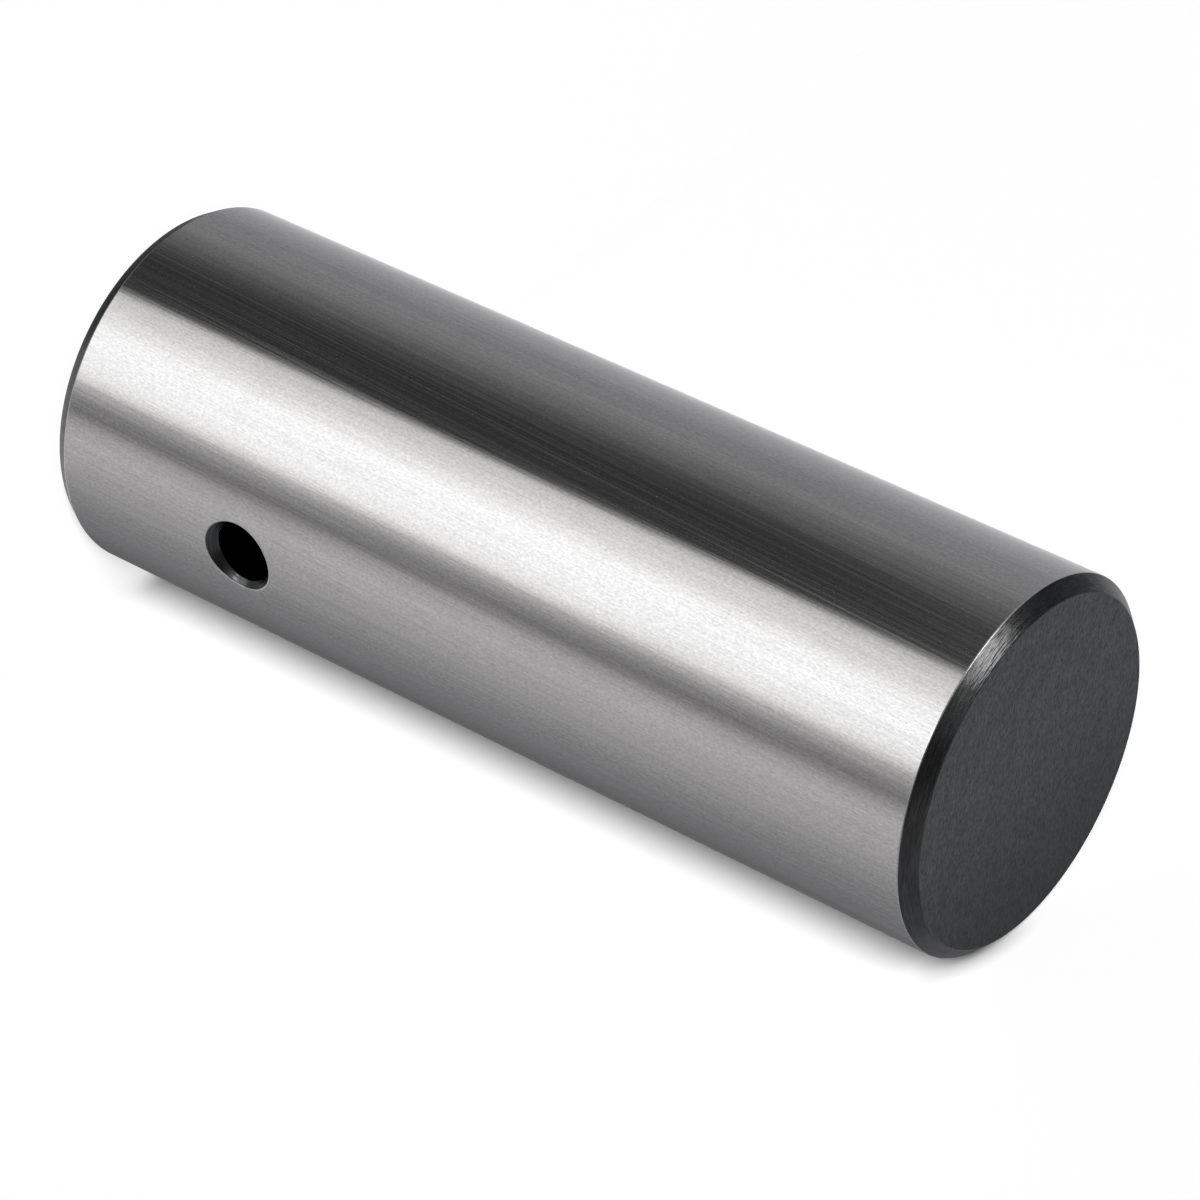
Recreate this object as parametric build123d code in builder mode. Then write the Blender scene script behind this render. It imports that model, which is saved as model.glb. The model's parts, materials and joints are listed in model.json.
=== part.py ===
"""A barrel tappet: one solid steel cylinder, turned, chamfered, cross drilled and ground on its outside.

It stands on its push-rod end, with its axis along Z and its cam end on top.
All sizes are in millimetres, and all angles in degrees.
"""

from math import radians, tan
import os

from build123d import *

# The ground outside, which runs in the tappet's guide.
body_diameter = 30.0
body_length = 82.0

# The chamfer round the cam end.
cam_chamfer = 1.1
cam_chamfer_angle = 45.0

# The slimmer lead-in round the push-rod end, its length along the axis and its slope to the axis.
lead_in_length = 1.1
lead_in_angle = 30.0

# The cross hole near the push-rod end, drilled right through and countersunk at both mouths.
cross_hole_diameter = 5.0
cross_hole_height = 19.0
countersink_diameter = 6.5
countersink_angle = 90.0

# Worked out from the sizes above.
body_radius = body_diameter / 2
cam_face_radius = body_radius - cam_chamfer * tan(radians(cam_chamfer_angle))
push_rod_face_radius = body_radius - lead_in_length * tan(radians(lead_in_angle))


# The turned body: half of its section, revolved about the axis.
with BuildPart() as tappet:
    with BuildSketch(Plane.XZ) as half_section:
        with BuildLine():
            Polyline(
                (0, 0),
                (push_rod_face_radius, 0),
                (body_radius, lead_in_length),
                (body_radius, body_length - cam_chamfer),
                (cam_face_radius, body_length),
                (0, body_length),
                close=True,
            )
        make_face()
    revolve(axis=Axis.Z)

    # The cross hole, sunk from the two sides so that each mouth has its countersink.
    front_mouth = Plane(origin=(0, -body_radius, cross_hole_height), z_dir=(0, -1, 0))
    back_mouth = Plane(origin=(0, body_radius, cross_hole_height), z_dir=(0, 1, 0))
    with Locations(front_mouth, back_mouth):
        CounterSinkHole(
            radius=cross_hole_diameter / 2,
            counter_sink_radius=countersink_diameter / 2,
            counter_sink_angle=countersink_angle,
        )


os.makedirs("parts", exist_ok=True)
tappet.part.label = "tappet"
export_step(tappet.part, "parts/tappet.step")
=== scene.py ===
"""A barrel tappet of hardened steel, ground bright along its side, in a plain pale studio."""

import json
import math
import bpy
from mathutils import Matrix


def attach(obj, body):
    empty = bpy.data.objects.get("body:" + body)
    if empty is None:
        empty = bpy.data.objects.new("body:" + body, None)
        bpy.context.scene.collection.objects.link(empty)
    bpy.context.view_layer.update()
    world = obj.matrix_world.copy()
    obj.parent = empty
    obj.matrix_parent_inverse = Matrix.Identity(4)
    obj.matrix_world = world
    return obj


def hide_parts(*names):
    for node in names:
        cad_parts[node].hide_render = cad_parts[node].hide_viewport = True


bl_info = {
    "name": "Barrel tappet",
    "version": (1, 0, 0),
    "blender": (4, 5, 0),
    "location": "3D View > Sidebar > Tappet",
    "description": "Models a ground steel barrel tappet and the plain studio that shows it",
    "category": "Add Mesh",
}

import bmesh
import bpy
from bpy.props import FloatProperty, FloatVectorProperty, IntProperty, PointerProperty
from bpy.types import Operator, Panel, PropertyGroup
from mathutils import Quaternion, Vector

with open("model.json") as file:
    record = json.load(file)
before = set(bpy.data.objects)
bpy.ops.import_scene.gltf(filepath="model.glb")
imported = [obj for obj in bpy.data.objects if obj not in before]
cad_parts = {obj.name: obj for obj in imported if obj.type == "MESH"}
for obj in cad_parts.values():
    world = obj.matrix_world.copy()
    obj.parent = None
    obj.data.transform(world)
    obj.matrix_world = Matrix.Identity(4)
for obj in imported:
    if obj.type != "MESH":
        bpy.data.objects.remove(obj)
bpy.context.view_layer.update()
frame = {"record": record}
mounts = {mount["name"]: mount for mount in frame["record"]["mounts"]}

MILLIMETRE = 0.001
FRONT, BACK = -1, 1

# The finishes, in the order of the tappet's material slots. The break of an edge may also take the finish
# of the faces beside it.
GROUND, DARK_FACE, DARK_TURNED, DARK_DRILLED = range(4)
AS_NEIGHBOURS = -1

# A face counts as level, as the end faces are, with more than this share of its normal along the axis.
LEVEL_NORMAL = 0.99
# Corners of the hole's throat lie this near to the depth where its countersink ends.
THROAT_TOLERANCE = 1e-7
# Faces of the hole lie further than this inside the round side, and nearer to the hole's axis than this many
# of its radii.
HOLE_MARGIN = 0.05 * MILLIMETRE
HOLE_REACH = 1.5
# Rings of faces that carry the round side from the square window in to the round mouth.
MOUTH_RINGS = 6
# How strongly a large face leads the shading at its edges.
LARGE_FACES_LEAD = 100

# The studio: its white, the sides and rings of the tent, and the camera's sensor, in millimetres, and reach.
WHITE = (1, 1, 1, 1)
STUDIO_WHITE = 0.99
TENT_PANES, TENT_RINGS = 64, 32
SENSOR_WIDTH = 36
NEAREST_SEEN, FURTHEST_SEEN = 0.01, 10
# The floor and the backdrop stay this far clear of the steel.
CLEAR_GAP = 0.01 * MILLIMETRE
# Over this height the backdrop's shadow passes into the floor's thin one.
FOOT_FADE = 2.5 * MILLIMETRE

# The soft painted shade at the cam end's touch: its place across the side and below the cam face, its reach
# out from the backdrop, across it and up it, its turn in degrees, and how steeply it falls off.
CONTACT_ACROSS = -4.1 * MILLIMETRE
CONTACT_DROP = 1.8 * MILLIMETRE
CONTACT_REACH = (10 * MILLIMETRE, 6.5 * MILLIMETRE, 2.15 * MILLIMETRE)
CONTACT_TURN = 14
CONTACT_FALL = 1.5


class TappetSizes(PropertyGroup):
    """Sizes of the tappet, in metres, taken from the part's own mounts where it has them."""

    body_radius: FloatProperty(
        name="Body radius",
        description="Radius of the ground side that runs in the guide",
        default=mounts["guide_diameter"]["dims"]["r_mm"] * MILLIMETRE,
        unit="LENGTH",
        precision=5,
    )
    body_length: FloatProperty(
        name="Body length",
        description="Length from the push-rod face to the cam face",
        default=mounts["cam_face"]["pos_m"][2],
        unit="LENGTH",
        precision=5,
    )
    ground_length: FloatProperty(
        name="Ground length",
        description="Length of the ground side between the two edge cuts",
        default=mounts["guide_diameter"]["dims"]["length_mm"] * MILLIMETRE,
        unit="LENGTH",
        precision=5,
    )
    ground_middle: FloatProperty(
        name="Ground middle",
        description="Height of the middle of the ground side",
        default=mounts["guide_diameter"]["pos_m"][2],
        unit="LENGTH",
        precision=5,
    )
    chamfer_angle: FloatProperty(
        name="Chamfer angle",
        description="Slope of the cam end's chamfer to the axis",
        default=math.radians(45),
        subtype="ANGLE",
    )
    lead_in_angle: FloatProperty(
        name="Lead-in angle",
        description="Slope of the push-rod end's lead-in to the axis",
        default=math.radians(30),
        subtype="ANGLE",
    )
    hole_radius: FloatProperty(
        name="Cross hole radius",
        description="Radius of the drilled cross hole",
        default=mounts["cross_hole"]["dims"]["r_mm"] * MILLIMETRE,
        unit="LENGTH",
        precision=5,
    )
    hole_wall: FloatProperty(
        name="Cross hole wall",
        description="Length of the hole's straight wall between its countersinks",
        default=mounts["cross_hole"]["dims"]["length_mm"] * MILLIMETRE,
        unit="LENGTH",
        precision=5,
    )
    hole_height: FloatProperty(
        name="Cross hole height",
        description="Height of the cross hole's axis above the push-rod face",
        default=mounts["cross_hole"]["pos_m"][2],
        unit="LENGTH",
        precision=5,
    )
    edge_round: FloatProperty(
        name="Edge round",
        description="Width of the small break on the tappet's edges",
        default=0.06 * MILLIMETRE,
        unit="LENGTH",
        precision=5,
    )
    rim_round: FloatProperty(
        name="Rim round",
        description="Width of the small break round the hole's mouths",
        default=0.05 * MILLIMETRE,
        unit="LENGTH",
        precision=5,
    )
    smooth_angle: FloatProperty(
        name="Smooth angle",
        description="Faces that meet at less than this angle are shaded as one round surface",
        default=math.radians(30),
        subtype="ANGLE",
    )
    sides: IntProperty(
        name="Sides",
        description="Flats that stand for the round of the body",
        default=384,
    )
    mouth_flats: IntProperty(
        name="Mouth flats",
        description="Flats of the body, each side of the hole's middle, that its mouth is let into",
        default=18,
    )


class TappetFinish(PropertyGroup):
    """Colours and gloss of the steel."""

    ground_colour: FloatVectorProperty(
        name="Ground steel",
        description="Colour of the bright ground side",
        default=(0.72, 0.72, 0.722),
        subtype="COLOR",
        size=3,
    )
    face_colour: FloatVectorProperty(
        name="Dark face",
        description="Colour of the dark hardened end faces",
        default=(0.115, 0.1205, 0.134),
        subtype="COLOR",
        size=3,
    )
    turned_colour: FloatVectorProperty(
        name="Dark edge",
        description="Colour of the dark chamfers and of the hole",
        default=(0.098, 0.101, 0.105),
        subtype="COLOR",
        size=3,
    )
    ground_roughness: FloatProperty(
        name="Ground roughness",
        description="Roughness of the ground side",
        default=0.10,
        subtype="FACTOR",
    )
    face_roughness: FloatProperty(
        name="Face roughness",
        description="Roughness of the dark end faces",
        default=0.42,
        subtype="FACTOR",
    )
    turned_roughness: FloatProperty(
        name="Turned roughness",
        description="Roughness of the dark turned chamfers and of the hole",
        default=0.20,
        subtype="FACTOR",
    )


class TappetStudio(PropertyGroup):
    """The floor, the backdrop, the lamp, the light tent and the camera."""

    floor_colour: FloatVectorProperty(
        name="Floor",
        description="Colour of the plain pale floor and backdrop",
        default=(0.95, 0.95, 0.95),
        subtype="COLOR",
        size=3,
    )
    floor_width: FloatProperty(
        name="Floor width",
        description="Width of the floor and of the backdrop",
        default=6.0,
        unit="LENGTH",
    )
    room_light: FloatProperty(
        name="Room light",
        description="Strength of the even light from all round",
        default=0.05,
    )
    key_light: FloatProperty(
        name="Key light",
        description="Brightness that the key lamp gives to white paper that faces it",
        default=1.39,
    )
    key_spread: FloatProperty(
        name="Key spread",
        description="Angle that the soft key lamp fills, seen from the tappet",
        default=math.radians(25.5),
        subtype="ANGLE",
    )
    key_turn: FloatProperty(
        name="Key turn",
        description="Angle of the key lamp round the tappet, from the camera's side",
        default=math.radians(-12),
        subtype="ANGLE",
    )
    key_elevation: FloatProperty(
        name="Key elevation",
        description="Angle of the key lamp above the floor",
        default=math.radians(32),
        subtype="ANGLE",
    )
    floor_shade: FloatProperty(
        name="Floor shade",
        description="Share of a full shadow that the floor shows",
        default=0.43,
        subtype="FACTOR",
    )
    contact_shade: FloatProperty(
        name="Contact shade",
        description="Depth of the soft shade where the cam end touches the backdrop",
        default=0.95,
        subtype="FACTOR",
    )
    tent_radius: FloatProperty(
        name="Tent radius",
        description="Radius of the light tent that the steel mirrors",
        default=1.3,
        unit="LENGTH",
    )
    camera_lens: FloatProperty(
        name="Lens",
        description="Focal length of the camera in millimetres",
        default=149.64,
    )
    camera_distance: FloatProperty(
        name="Camera distance",
        description="Distance from the camera to the point that it aims at",
        default=0.37825,
        unit="LENGTH",
        precision=5,
    )
    camera_azimuth: FloatProperty(
        name="Camera azimuth",
        description="Angle of the camera round the tappet, from the front",
        default=math.radians(-45.0),
        subtype="ANGLE",
    )
    camera_elevation: FloatProperty(
        name="Camera elevation",
        description="Angle of the camera above the floor",
        default=math.radians(30.23),
        subtype="ANGLE",
    )
    camera_roll: FloatProperty(
        name="Camera roll",
        description="Turn of the camera about its own line of sight",
        default=math.radians(114.98),
        subtype="ANGLE",
    )
    camera_aim: FloatVectorProperty(
        name="Camera aim",
        description="Point that the camera looks at",
        default=(2.08 * MILLIMETRE, -0.55 * MILLIMETRE, 42.85 * MILLIMETRE),
        subtype="XYZ",
        unit="LENGTH",
        size=3,
        precision=5,
    )


# Modelling helpers.

def select_only(obj, kind, wanted):
    """In edit mode, selects just the faces or edges that wanted accepts."""
    bpy.ops.mesh.select_mode(type=kind)
    bpy.ops.mesh.select_all(action="DESELECT")
    mesh = bmesh.from_edit_mesh(obj.data)
    for element in mesh.faces if kind == "FACE" else mesh.edges:
        element.select_set(wanted(element))
    mesh.select_flush_mode()
    bmesh.update_edit_mesh(obj.data)


def lies_between(first, second):
    """A test for select_only: the edge lies between faces of these two finishes."""
    return lambda edge: {face.material_index for face in edge.link_faces} == {first, second}


def place_selected(obj, place):
    """In edit mode, moves each selected corner to where place puts it."""
    mesh = bmesh.from_edit_mesh(obj.data)
    for vertex in mesh.verts:
        if vertex.select:
            vertex.co = place(vertex.co)
    bmesh.update_edit_mesh(obj.data)


def apply_place(obj):
    """Puts the object's place and turn into its mesh."""
    bpy.ops.object.select_all(action="DESELECT")
    bpy.context.view_layer.objects.active = obj
    obj.select_set(True)
    bpy.ops.object.transform_apply(location=True, rotation=True, scale=True)


def bisect_at_height(height):
    """In edit mode, cuts the whole mesh through with a level plane."""
    bpy.ops.mesh.select_all(action="SELECT")
    bpy.ops.mesh.bisect(plane_co=(0, 0, height), plane_no=(0, 0, 1))


def taper_end(obj, sign, length, from_radius, to_radius, height):
    """Extrudes the flat end that faces up or down, and tapers it from one radius to another."""
    select_only(obj, "FACE", lambda face: face.normal.z * sign > LEVEL_NORMAL)
    bpy.ops.mesh.extrude_region_move(TRANSFORM_OT_translate={"value": (0, 0, sign * length)})
    narrow = to_radius / from_radius
    bpy.ops.transform.resize(value=(narrow, narrow, 1), center_override=(0, 0, height))


def give_slot(obj, slot, wanted):
    """Gives a finish to the faces that wanted accepts."""
    select_only(obj, "FACE", wanted)
    obj.active_material_index = slot
    bpy.ops.object.material_slot_assign()


class Shading:
    """The node tree of a finish or a light, and the steps that it is put together from.

    Each value that a step takes is a socket, a number or a colour.
    """

    def __init__(self, tree):
        self.nodes = tree.nodes
        self.links = tree.links

    def feed(self, value, socket):
        """Links a socket to another, or sets it to a number or a colour."""
        if isinstance(value, bpy.types.NodeSocket):
            self.links.new(value, socket)
        else:
            socket.default_value = value

    def add(self, kind, values=None):
        """Adds a node, and feeds its inputs with values, by their name or their number."""
        node = self.nodes.new(kind)
        for name, value in (values or {}).items():
            self.feed(value, node.inputs[name])
        return node

    def place(self):
        """Places on the piece itself."""
        return self.add("ShaderNodeTexCoord").outputs["Object"]

    def along(self, place, axis):
        """How far a place lies along an axis, which is X, Y or Z."""
        return self.add("ShaderNodeSeparateXYZ", {"Vector": place}).outputs[axis]

    def wound_place(self, twist):
        """Places on the piece, wound round its axis by an angle for each metre along it."""
        place = self.place()
        angle = self.join("MULTIPLY", self.along(place, "Z"), -twist)
        wound = self.add("ShaderNodeVectorRotate", {"Vector": place, "Angle": angle})
        wound.rotation_type = "Z_AXIS"
        return wound.outputs["Vector"]

    def fit(self, place, size, middle=(0, 0, 0), turn=(0, 0, 0)):
        """Fits a pattern to a size in metres, a middle, and a turn in degrees about each axis."""
        rotation = [math.radians(degrees) for degrees in turn]
        values = {"Vector": place, "Location": middle, "Rotation": rotation, "Scale": size}
        mapping = self.add("ShaderNodeMapping", values)
        mapping.vector_type = "TEXTURE"
        return mapping.outputs["Vector"]

    def marks(self, size, detail=1.0, turn=0, twist=0):
        """Uneven marks of about the given size in millimetres, turned in degrees or wound round the axis."""
        place = self.wound_place(twist) if twist else self.place()
        fitted = self.fit(place, [length * MILLIMETRE for length in size], turn=(0, 0, turn))
        noise = self.add("ShaderNodeTexNoise", {"Vector": fitted, "Scale": 1.0, "Detail": detail})
        return noise.outputs["Fac"]

    def round_patch(self, place, middle, reach, turn=0):
        """A round patch, 1 in its middle and 0 at its reach by direction, turned in degrees about X."""
        fitted = self.fit(place, reach, middle, (turn, 0, 0))
        patch = self.add("ShaderNodeTexGradient", {"Vector": fitted})
        patch.gradient_type = "SPHERICAL"
        return patch.outputs["Fac"]

    def join(self, operation, first, *others):
        """Joins values one after another, by an operation such as a sum or a product."""
        for other in others:
            joined = self.add("ShaderNodeMath", {0: first, 1: other})
            joined.operation = operation
            first = joined.outputs["Value"]
        return first

    def spread(self, value, low, high, to_low, to_high, smooth=False):
        """Takes a value from one range to another, evenly or smoothly, and holds it there."""
        ranges = {"From Min": low, "From Max": high, "To Min": to_low, "To Max": to_high}
        ranged = self.add("ShaderNodeMapRange", {"Value": value, **ranges})
        if smooth:
            ranged.interpolation_type = "SMOOTHSTEP"
        return ranged.outputs["Result"]

    def tone(self, marks, depth, swing, middle=0.5):
        """Tones lighter and darker than 1 by a depth, as the marks swing about their middle."""
        return self.spread(marks, middle - swing, middle + swing, 1 - depth, 1 + depth)

    def blend_colours(self, kind, share, first, second):
        """Blends two colours by a share."""
        blend = self.add("ShaderNodeMix")
        blend.data_type = "RGBA"
        blend.blend_type = kind
        colours = [socket for socket in blend.inputs if socket.type == "RGBA"]
        for value, socket in zip((share, first, second), (blend.inputs["Factor"], *colours)):
            self.feed(value, socket)
        return next(socket for socket in blend.outputs if socket.type == "RGBA")

    def blend_shaders(self, share, first, second):
        """Passes from the first shader to the second by a share from 0 to 1."""
        return self.add("ShaderNodeMixShader", {0: share, 1: first, 2: second}).outputs["Shader"]

    def ring(self, turn, tones):
        """A ring of tones or tints that pass into each other, placed by angles from -180 to 180 degrees."""
        ramp = self.add("ShaderNodeValToRGB", {"Fac": turn})
        stops = ramp.color_ramp.elements
        stops.remove(stops[1])
        for number, (angle, tone) in enumerate(tones):
            position = 0.5 + angle / 360
            stop = stops.new(position) if number else stops[0]
            stop.position = position
            stop.color = (*tone, 1) if isinstance(tone, tuple) else (tone, tone, tone, 1)
        return ramp.outputs["Color"]

    def add_shaders(self, first, second):
        """Lays one shader's light over another's."""
        return self.add("ShaderNodeAddShader", {0: first, 1: second}).outputs["Shader"]

    def matt(self, colour):
        """A matt surface."""
        return self.add("ShaderNodeBsdfDiffuse", {"Color": (*colour, 1)}).outputs["BSDF"]

    def glow(self, colour, strength):
        """A surface that gives off light."""
        return self.add("ShaderNodeEmission", {"Color": colour, "Strength": strength}).outputs["Emission"]

    def glow_for_camera(self, strength):
        """A white glow that only the camera sees."""
        path = self.add("ShaderNodeLightPath")
        return self.glow(WHITE, self.join("MULTIPLY", path.outputs["Is Camera Ray"], strength))


# Finishes.

class Metal(Shading):
    """A plain metal, whose shader takes the marks of its making."""

    def __init__(self, name, colour, roughness):
        self.material = bpy.data.materials.new(name)
        self.material.use_nodes = True
        super().__init__(self.material.node_tree)
        self.colour = colour
        self.shader = self.nodes["Principled BSDF"]
        self.give("Metallic", 1.0)
        self.give("Roughness", roughness)

    def give(self, name, value):
        """Gives the metal's shader a value."""
        self.feed(value, self.shader.inputs[name])

    def shade(self, tone):
        """Lays the colour on the metal, lighter and darker by the tone."""
        self.give("Base Color", self.blend_colours("MULTIPLY", 1.0, (*self.colour, 1.0), tone))

    def raise_marks(self, height, depth):
        """Lets the marks stand up from the metal by a depth in millimetres."""
        values = {"Height": height, "Strength": 1.0, "Distance": depth * MILLIMETRE}
        self.give("Normal", self.add("ShaderNodeBump", values).outputs["Normal"])


def ground_steel(finish):
    """Bright steel with long grinding lines, some wound a little round the axis, and a fine grain."""
    roughness = finish.ground_roughness
    steel = Metal("ground_steel", finish.ground_colour, roughness)
    lines = steel.marks((0.17, 0.17, 60), detail=2.0)
    wound = steel.marks((0.13, 0.13, 55), twist=2.9)
    grain = steel.marks((0.12, 0.12, 0.30))
    cloud = steel.marks((2.5, 2.5, 9.0), detail=2.0)

    both_lines = steel.join("ADD", lines, wound)
    lined = steel.tone(both_lines, depth=0.09, swing=0.4, middle=1.0)
    grained = steel.tone(grain, depth=0.18, swing=0.3)
    clouded = steel.tone(cloud, depth=0.02, swing=0.2)
    steel.shade(steel.join("MULTIPLY", lined, grained, clouded))

    # The strongest of the wound lines are fine scratches: rougher, and a little less like a mirror.
    swing = steel.spread(lines, 0.35, 0.65, roughness - 0.02, roughness + 0.02)
    scratched = steel.spread(wound, 0.48, 0.72, roughness, roughness + 0.06)
    steel.give("Roughness", steel.join("MAXIMUM", swing, scratched))
    steel.give("Metallic", steel.spread(wound, 0.48, 0.74, 1.0, 0.978))
    steel.raise_marks(both_lines, 0.0010)
    return steel.material


def dark_face(finish):
    """Dark hardened steel of the end faces, with short fibres and a slow painted shade across them."""
    steel = Metal("dark_face", finish.face_colour, finish.face_roughness)
    fibre_turn = -18
    fibres = steel.marks((0.6, 0.15, 0.6), detail=2.0, turn=fibre_turn)
    grain = steel.marks((0.26, 0.15, 0.26), turn=fibre_turn)
    cloud = steel.marks((2.4, 1.6, 2.4), detail=2.0, turn=fibre_turn)

    fine = steel.join("ADD", fibres, grain)
    fine_tone = steel.tone(fine, depth=0.55, swing=0.4, middle=1.0)
    cloud_tone = steel.tone(cloud, depth=0.06, swing=0.2)
    # Painted light and shade: the faces run from 1.06 of their colour at X = -6 mm to 0.42 at X = 18 mm.
    across = steel.along(steel.place(), "X")
    painted_light_side, painted_shade_side = -6 * MILLIMETRE, 18 * MILLIMETRE
    painted_shade_tone = steel.spread(across, painted_light_side, painted_shade_side, 1.06, 0.42, smooth=True)
    steel.shade(steel.join("MULTIPLY", fine_tone, cloud_tone, painted_shade_tone))
    steel.raise_marks(fine, 0.004)
    return steel.material


def dark_turned(name, finish, along, grain_length):
    """Dark steel with tool marks in rings round the given axis, which is 1 for Y or 2 for Z."""
    steel = Metal(name, finish.turned_colour, finish.turned_roughness)
    ring_size = [3.0] * 3
    ring_size[along] = 0.12
    grain_size = [grain_length] * 3
    grain_size[along] = 0.09
    fine = steel.join("ADD", steel.marks(ring_size, detail=2.0), steel.marks(grain_size))
    steel.shade(steel.tone(fine, depth=0.28, swing=0.3, middle=1.0))
    steel.raise_marks(fine, 0.025)
    return steel.material


class TAPPET_OT_make_body(Operator):
    """Model the tappet from a cylinder: its countersunk cross hole, edge cuts and broken edges"""

    bl_idname = "tappet.make_body"
    bl_label = "Make the tappet"

    def execute(self, context):
        self.sizes = context.scene.tappet_sizes
        finish = context.scene.tappet_finish
        body = self.start_body()
        for steel in (
            ground_steel(finish),
            dark_face(finish),
            dark_turned("dark_turned", finish, along=2, grain_length=0.9),
            dark_turned("dark_drilled", finish, along=1, grain_length=2.0),
        ):
            body.data.materials.append(steel)
        bpy.ops.object.mode_set(mode="EDIT")
        self.cut_ends(body)
        self.open_windows(body)
        for side in (FRONT, BACK):
            self.sink_mouth(body, side)
        self.join_mouths(body)
        self.break_edges(body)
        bpy.ops.object.mode_set(mode="OBJECT")
        self.smooth(body)
        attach(body, "root")
        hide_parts("tappet")
        return {"FINISHED"}

    def start_body(self):
        """A plain cylinder, as long as the ground side."""
        bpy.ops.object.select_all(action="DESELECT")
        bpy.ops.mesh.primitive_cylinder_add(
            vertices=self.sizes.sides,
            radius=self.sizes.body_radius,
            depth=self.sizes.ground_length,
            location=(0, 0, self.sizes.ground_middle),
        )
        body = bpy.context.active_object
        body.name = body.data.name = "tappet_body"
        apply_place(body)
        return body

    def cut_ends(self, body):
        """Draws out the chamfer at the cam end and the lead-in at the push-rod end."""
        sizes = self.sizes
        top = sizes.ground_middle + sizes.ground_length / 2
        foot = sizes.ground_middle - sizes.ground_length / 2
        chamfer = sizes.body_length - top
        cam_radius = sizes.body_radius - chamfer * math.tan(sizes.chamfer_angle)
        foot_radius = sizes.body_radius - foot * math.tan(sizes.lead_in_angle)
        taper_end(body, 1, chamfer, sizes.body_radius, cam_radius, top)
        taper_end(body, -1, foot, sizes.body_radius, foot_radius, foot)

        def is_end(face):
            middle = face.calc_center_median()
            return not foot < middle.z < top

        give_slot(body, DARK_TURNED, is_end)
        give_slot(body, DARK_FACE, lambda face: is_end(face) and abs(face.normal.z) > LEVEL_NORMAL)

    def half_window(self):
        """Half the width and half the height of the square window that each mouth is let into."""
        turn = self.sizes.mouth_flats * math.tau / self.sizes.sides
        return self.sizes.body_radius * math.sin(turn), self.sizes.body_radius * turn

    def open_windows(self, body):
        """Opens a square window in the side, front and back, where the hole's mouths come."""
        sizes = self.sizes
        half_width, half_height = self.half_window()
        for height in (sizes.hole_height - half_height, sizes.hole_height + half_height):
            bisect_at_height(height)

        def is_upright(edge):
            start, end = (vertex.co.z - sizes.hole_height for vertex in edge.verts)
            return abs(start - end) > half_height and abs(start + end) < half_height

        select_only(body, "EDGE", is_upright)
        bpy.ops.mesh.subdivide(number_cuts=2 * sizes.mouth_flats - 1)

        def in_window(face):
            middle = face.calc_center_median()
            level = abs(middle.z - sizes.hole_height) < half_height
            return level and abs(middle.x) < half_width and abs(middle.y) > half_width

        select_only(body, "FACE", in_window)
        bpy.ops.mesh.delete(type="FACE")

    def from_hole(self, place):
        """A place's distance from the hole's axis, and its direction from it."""
        across, up = place.x, place.z - self.sizes.hole_height
        return math.hypot(across, up), math.atan2(up, across)

    def on_ring(self, side, radius, angle, depth):
        """The place on a ring round the hole's axis, at a depth from the tappet's own axis."""
        height = self.sizes.hole_height + radius * math.sin(angle)
        return Vector((radius * math.cos(angle), side * depth, height))

    def rim_radius(self, angle):
        """Radius at which the countersink's cone meets the round side, by direction from the hole's axis."""
        cone_tip = self.sizes.hole_wall / 2 - self.sizes.hole_radius
        widening = 1 + math.cos(angle) ** 2
        under_root = cone_tip ** 2 + widening * (self.sizes.body_radius ** 2 - cone_tip ** 2)
        return (math.sqrt(under_root) - cone_tip) / widening

    def to_side(self, place):
        """The nearest place on the round side."""
        grow = self.sizes.body_radius / math.hypot(place.x, place.y)
        return Vector((place.x * grow, place.y * grow, place.z))

    def sink_mouth(self, body, side):
        """Draws the window in to the rim of the countersink, and the rim down to the straight hole."""
        sizes = self.sizes
        half_width = self.half_window()[0]
        halfway = (self.rim_radius(math.pi / 2) + half_width) / 2

        def is_open(edge):
            return edge.is_boundary and edge.verts[0].co.y * side > 0

        def is_spoke(edge):
            near, far = sorted(self.from_hole(vertex.co)[0] for vertex in edge.verts)
            return near < halfway < far and edge.verts[0].co.y * side > 0

        def to_rim(place):
            angle = self.from_hole(place)[1]
            radius = self.rim_radius(angle)
            depth = math.sqrt(sizes.body_radius ** 2 - (radius * math.cos(angle)) ** 2)
            return self.on_ring(side, radius, angle, depth)

        def to_throat(place):
            return self.on_ring(side, sizes.hole_radius, self.from_hole(place)[1], sizes.hole_wall / 2)

        select_only(body, "EDGE", is_open)
        bpy.ops.mesh.extrude_edges_move()
        place_selected(body, to_rim)
        select_only(body, "EDGE", is_spoke)
        bpy.ops.mesh.subdivide(number_cuts=MOUTH_RINGS - 1)
        place_selected(body, self.to_side)
        select_only(body, "EDGE", is_open)
        bpy.ops.mesh.extrude_edges_move()
        place_selected(body, to_throat)

    def join_mouths(self, body):
        """Runs the straight hole through from mouth to mouth, and gives the whole hole its finish."""
        sizes = self.sizes
        select_only(body, "EDGE", lambda edge: edge.is_boundary)
        bpy.ops.mesh.bridge_edge_loops()

        def in_hole(face):
            middle = face.calc_center_median()
            inside = math.hypot(middle.x, middle.y) < sizes.body_radius - HOLE_MARGIN
            return inside and self.from_hole(middle)[0] < HOLE_REACH * sizes.hole_radius

        give_slot(body, DARK_DRILLED, in_hole)

    def break_edges(self, body):
        """Breaks each edge a little, so that it catches the light."""
        sizes = self.sizes

        def is_throat(edge):
            depths = (abs(vertex.co.y) for vertex in edge.verts)
            return all(abs(depth - sizes.hole_wall / 2) < THROAT_TOLERANCE for depth in depths)

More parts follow.
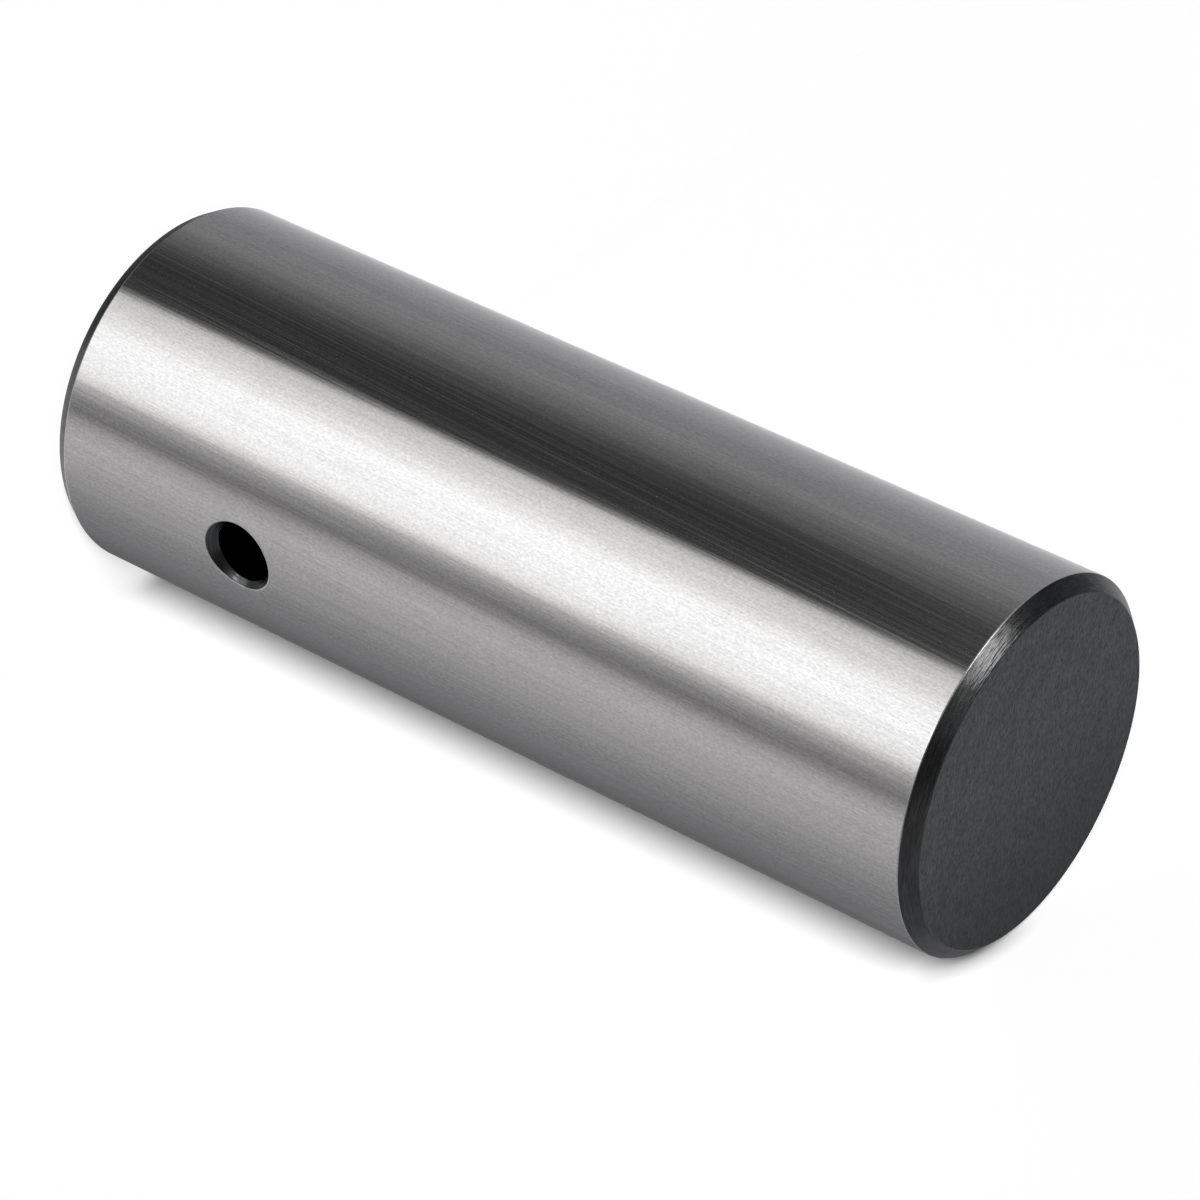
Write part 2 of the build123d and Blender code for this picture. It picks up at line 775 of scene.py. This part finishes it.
        for wanted, width, segments, slot in (
            (is_throat, sizes.rim_round, 2, AS_NEIGHBOURS),
            (lies_between(GROUND, DARK_DRILLED), sizes.rim_round, 3, GROUND),
            (lies_between(GROUND, DARK_TURNED), sizes.edge_round, 3, GROUND),
            (lies_between(DARK_TURNED, DARK_FACE), sizes.edge_round, 3, DARK_TURNED),
        ):
            select_only(body, "EDGE", wanted)
            bpy.ops.mesh.bevel(offset=width, segments=segments, clamp_overlap=False, material=slot)
        bpy.ops.mesh.select_all(action="SELECT")
        bpy.ops.mesh.normals_make_consistent(inside=False)

    def smooth(self, body):
        """Shades the round surfaces smooth, led by their large faces."""
        bpy.ops.object.shade_smooth_by_angle(angle=self.sizes.smooth_angle)
        bpy.ops.object.modifier_add(type="WEIGHTED_NORMAL")
        weighting = body.modifiers[-1]
        weighting.keep_sharp = True
        weighting.weight = LARGE_FACES_LEAD
        bpy.ops.object.modifier_apply(modifier=weighting.name)


# The studio.

class Covering(Shading):
    """A finish of the studio, which starts from nothing but its surface."""

    def __init__(self, name):
        self.material = bpy.data.materials.new(name)
        self.material.use_nodes = True
        super().__init__(self.material.node_tree)
        self.nodes.clear()
        self.surface = self.add("ShaderNodeOutputMaterial").inputs["Surface"]


class PalePaint(Covering):
    """A pale matt paint, lifted to white for the camera, which shows a shadow in full or in part."""

    def __init__(self, name, colour, lift):
        super().__init__(name)
        self.shaded = self.add_shaders(self.matt(colour), self.glow_for_camera(lift))
        self.white = self.glow_for_camera(STUDIO_WHITE)

    def show_shadow(self, share):
        """The paint with just a share of its shadow."""
        return self.blend_shaders(share, self.white, self.shaded)


# Brightness of the tent's cloth by the angle round from the camera, in degrees, in four rows: overhead,
# where the chamfer mirrors it; level with the floor; low, where the side mirrors it; and underneath.
HIGH_CLOTH = (
    (-180, 0.42), (-160, 0.45), (-135, 0.20), (-110, 0.12), (-90, 0.20), (-75, 0.35), (-40, 0.35),
    (-20, 0.28), (-8, 0.22), (14, 0.10), (40, 0.08), (55, 0.15), (70, 0.26), (95, 0.30), (125, 0.32),
    (150, 0.38), (180, 0.42),
)
LEVEL_CLOTH = (
    (-180, 0.30), (-158, 0.50), (-130, 0.38), (-40, 0.20), (0, 0.60), (60, 0.35), (125, 0.25), (148, 0.31),
    (157, 0.23), (163, 0.23), (172, 0.10), (180, 0.30),
)
LOW_CLOTH = (
    (-180, 0.95), (-168, 0.70), (-160, 0.56), (-145, 0.41), (-118, 0.26), (-96, 0.23), (-84, 0.15),
    (-70, 0.06), (-60, 0.037), (-37, 0.039), (-34.5, 0.12), (-31.5, 0.66), (-26, 0.80), (-18, 0.95),
    (-6, 1.30), (8, 1.26), (20, 1.14), (25, 0.92), (29, 0.52), (37, 0.28), (44.5, 0.19), (53, 0.44),
    (62, 0.53), (80, 0.43), (108, 0.27), (155, 0.14), (180, 0.13),
)
UNDER_CLOTH = (
    (-180, 0.20), (-147, 0.15), (-125, 0.10), (-90, 0.10), (90, 0.50), (105, 0.62), (150, 0.66), (180, 0.22),
)

# The rows above the lowest, each with the heights, in tent radii, between which it takes over from the
# row below it.
UPPER_ROWS = (
    (LOW_CLOTH, -0.70, -0.62),
    (LEVEL_CLOTH, -0.46, -0.08),
    (HIGH_CLOTH, 0.06, 0.24),
)

# Tints of the cloth by the same angle: cool behind, warm beside the camera and a little rosy to its right.
COOL, PLAIN, WARM, ROSY = (0.985, 0.985, 1.01), (1.0, 1.0, 1.0), (1.012, 1.0, 0.98), (1.018, 0.99, 1.0)
CLOTH_TINTS = (
    (-180, COOL), (-110, COOL), (-80, PLAIN), (-45, PLAIN), (-28, WARM), (-16, WARM), (-4, PLAIN),
    (14, PLAIN), (24, WARM), (40, ROSY), (88, ROSY), (104, PLAIN), (120, COOL), (180, COOL),
)

# The bright panels, one for the glint on the chamfer and one for the streak in the hole's mouth: the angle
# round from the camera, the angle above the floor and the reach, all in degrees, and the strength.
PANELS = (
    (-62, 51, 17.5, 6.0),
    (4, -10, 9, 6.5),
)
PANEL_COLOUR = (1.0, 0.97, 0.93, 1.0)


class TAPPET_OT_set_stage(Operator):
    """Set the pale floor and backdrop, the light tent, the key lamp, the white room and the camera"""

    bl_idname = "tappet.set_stage"
    bl_label = "Set the stage"

    def execute(self, context):
        self.studio = context.scene.tappet_studio
        self.camera_side = self.studio.camera_azimuth - math.pi / 2
        key = self.direction(self.studio.key_turn, self.studio.key_elevation)
        self.lay_floor(key)
        self.stand_backdrop(key, context.scene.tappet_sizes)
        self.hang_tent()
        self.light_room(context.scene)
        self.add_key_lamp(key)
        self.place_camera(context.scene)
        context.scene.view_settings.view_transform = "Standard"
        return {"FINISHED"}

    def direction(self, turn, elevation):
        """The direction at an angle round from the camera's side and an angle above the floor."""
        around = self.camera_side + turn
        level = math.cos(elevation)
        return Vector((math.cos(around) * level, math.sin(around) * level, math.sin(elevation)))

    def pale_paint(self, name, lit):
        """Paint for a plane that gets a share of the key lamp's light, lifted by what it lacks of white."""
        light = self.studio.key_light * lit + self.studio.room_light
        lift = STUDIO_WHITE - self.studio.floor_colour[0] * light
        return PalePaint(name, self.studio.floor_colour, lift)

    def add_plane(self, name, location, rotation, paint):
        """A wide painted plane of the studio, which lights nothing and shows in no mirror."""
        bpy.ops.object.select_all(action="DESELECT")
        bpy.ops.mesh.primitive_plane_add(size=self.studio.floor_width, location=location, rotation=rotation)
        plane = bpy.context.active_object
        plane.name = name
        apply_place(plane)
        plane.data.materials.append(paint.material)
        plane.visible_glossy = False
        plane.visible_diffuse = False
        plane.visible_transmission = False
        return plane

    def lay_floor(self, key):
        """The floor that the tappet stands on, which keeps a thin shadow."""
        paint = self.pale_paint("floor_paint", key.z)
        paint.feed(paint.show_shadow(self.studio.floor_shade), paint.surface)
        self.add_plane("studio_floor", (0, 0, -CLEAR_GAP), (0, 0, 0), paint)

    def stand_backdrop(self, key, sizes):
        """The upright backdrop, seen from its front alone, which touches the tappet's side.

        Its shadow thins out to the floor's at the foot. A soft shade is painted where the cam end touches
        it.
        """
        paint = self.pale_paint("backdrop_paint", -key.x)
        place = paint.place()
        as_floor = self.studio.floor_shade * key.z / -key.x
        share = paint.spread(paint.along(place, "Z"), 0, FOOT_FADE, as_floor, 1, smooth=True)
        shadow = paint.show_shadow(share)

        # Painted shade: a soft black patch blended into the paint where the cam end touches the backdrop.
        touch = (sizes.body_radius, CONTACT_ACROSS, sizes.body_length - CONTACT_DROP)
        near = paint.round_patch(place, touch, CONTACT_REACH, CONTACT_TURN)
        shade = paint.join("MULTIPLY", paint.join("POWER", near, CONTACT_FALL), self.studio.contact_shade)
        front = paint.blend_shaders(shade, shadow, paint.matt((0, 0, 0)))

        behind = paint.add("ShaderNodeNewGeometry").outputs["Backfacing"]
        clear = paint.add("ShaderNodeBsdfTransparent").outputs["BSDF"]
        paint.feed(paint.blend_shaders(behind, front, clear), paint.surface)
        middle = (sizes.body_radius + CLEAR_GAP, 0, self.studio.floor_width / 2)
        backdrop = self.add_plane("studio_backdrop", middle, (0, -math.pi / 2, 0), paint)
        backdrop.visible_shadow = False

    def hang_tent(self):
        """A tent of light and dark cloth that only the steel mirrors, with a bright panel for each glint."""
        bpy.ops.object.select_all(action="DESELECT")
        bpy.ops.mesh.primitive_uv_sphere_add(
            segments=TENT_PANES, ring_count=TENT_RINGS, radius=self.studio.tent_radius)
        tent = bpy.context.active_object
        tent.name = "light_tent"
        tent.data.materials.append(self.tent_cloth().material)
        tent.visible_camera = False
        tent.visible_diffuse = False
        tent.visible_transmission = False
        tent.visible_volume_scatter = False
        tent.visible_shadow = False

    def tent_cloth(self):
        """The cloth in its four rows, tinted, with the glow of the panels over it."""
        cloth = Covering("tent_cloth")
        place = cloth.place()
        height = cloth.along(place, "Z")
        faced = cloth.add("ShaderNodeMapping", {"Vector": place, "Rotation": (0, 0, -self.camera_side)})
        around = cloth.add("ShaderNodeTexGradient", {"Vector": faced.outputs["Vector"]})
        around.gradient_type = "RADIAL"
        turn = around.outputs["Fac"]

        rows = cloth.ring(turn, UNDER_CLOTH)
        for row, low, high in UPPER_ROWS:
            heights = (low * self.studio.tent_radius, high * self.studio.tent_radius)
            rise = cloth.spread(height, *heights, 0, 1, smooth=True)
            rows = cloth.blend_colours("MIX", rise, rows, cloth.ring(turn, row))
        tinted = cloth.blend_colours("MULTIPLY", 1.0, rows, cloth.ring(turn, CLOTH_TINTS))

        light = cloth.glow(tinted, 1.0)
        for panel in PANELS:
            light = cloth.add_shaders(light, self.bright_panel(cloth, place, *panel))
        cloth.feed(light, cloth.surface)
        cloth.material.cycles.emission_sampling = "NONE"
        return cloth

    def bright_panel(self, cloth, place, turn, elevation, reach, strength):
        """A round panel, brightest in its middle, placed and sized in degrees."""
        radius = self.studio.tent_radius
        middle = radius * self.direction(math.radians(turn), math.radians(elevation))
        patch = cloth.round_patch(place, middle, [radius * math.radians(reach)] * 3)
        return cloth.glow(PANEL_COLOUR, cloth.join("MULTIPLY", patch, strength))

    def light_room(self, scene):
        """An even light all round, and plain white where the camera, gloss or glass sees past the floor."""
        world = bpy.data.worlds.new("studio_room")
        scene.world = world
        world.use_nodes = True
        room = Shading(world.node_tree)
        rays = room.add("ShaderNodeLightPath").outputs
        kinds = ("Is Camera Ray", "Is Glossy Ray", "Is Transmission Ray")
        seen = room.join("MAXIMUM", *(rays[kind] for kind in kinds))
        background = room.nodes["Background"]
        room.feed(WHITE, background.inputs["Color"])
        room.feed(room.spread(seen, 0, 1, self.studio.room_light, 1), background.inputs["Strength"])

    def add_key_lamp(self, away):
        """A wide soft lamp beside the camera, which draws the shadow along the tappet."""
        bpy.ops.object.light_add(type="SUN", location=away)
        lamp = bpy.context.active_object
        lamp.name = "key_lamp"
        lamp.rotation_mode = "QUATERNION"
        lamp.rotation_quaternion = away.to_track_quat("Z", "Y")
        lamp.data.angle = self.studio.key_spread
        lamp.data.energy = self.studio.key_light * math.pi
        lamp.visible_glossy = False

    def place_camera(self, scene):
        """The photograph's view: round to the left, looking down, and rolled to lay the tappet across it."""
        back = self.direction(0, self.studio.camera_elevation)
        aim = Vector(self.studio.camera_aim)
        bpy.ops.object.camera_add(location=aim + back * self.studio.camera_distance)
        camera = bpy.context.active_object
        camera.name = "photo_camera"
        camera.rotation_mode = "QUATERNION"
        roll = Quaternion((0, 0, 1), self.studio.camera_roll)
        camera.rotation_quaternion = (-back).to_track_quat("-Z", "Y") @ roll
        camera.data.lens = self.studio.camera_lens
        camera.data.sensor_width = SENSOR_WIDTH
        camera.data.clip_start = NEAREST_SEEN
        camera.data.clip_end = FURTHEST_SEEN
        scene.camera = camera


class TAPPET_PT_sidebar(Panel):
    """The tappet's sizes, finishes and studio"""

    bl_label = "Barrel tappet"
    bl_idname = "TAPPET_PT_sidebar"
    bl_space_type = "VIEW_3D"
    bl_region_type = "UI"
    bl_category = "Tappet"

    def draw(self, context):
        for name in ("tappet_sizes", "tappet_finish", "tappet_studio"):
            group = getattr(context.scene, name)
            box = self.layout.box()
            for prop in group.bl_rna.properties:
                if prop.identifier not in ("rna_type", "name"):
                    box.prop(group, prop.identifier)
        self.layout.operator("tappet.make_body")
        self.layout.operator("tappet.set_stage")


CLASSES = (
    TappetSizes,
    TappetFinish,
    TappetStudio,
    TAPPET_OT_make_body,
    TAPPET_OT_set_stage,
    TAPPET_PT_sidebar,
)


def register():
    for cls in CLASSES:
        bpy.utils.register_class(cls)
    bpy.types.Scene.tappet_sizes = PointerProperty(type=TappetSizes)
    bpy.types.Scene.tappet_finish = PointerProperty(type=TappetFinish)
    bpy.types.Scene.tappet_studio = PointerProperty(type=TappetStudio)


def unregister():
    del bpy.types.Scene.tappet_studio
    del bpy.types.Scene.tappet_finish
    del bpy.types.Scene.tappet_sizes
    for cls in reversed(CLASSES):
        bpy.utils.unregister_class(cls)


def main():
    register()
    bpy.ops.tappet.make_body()
    bpy.ops.tappet.set_stage()


if __name__ == "__main__":
    main()
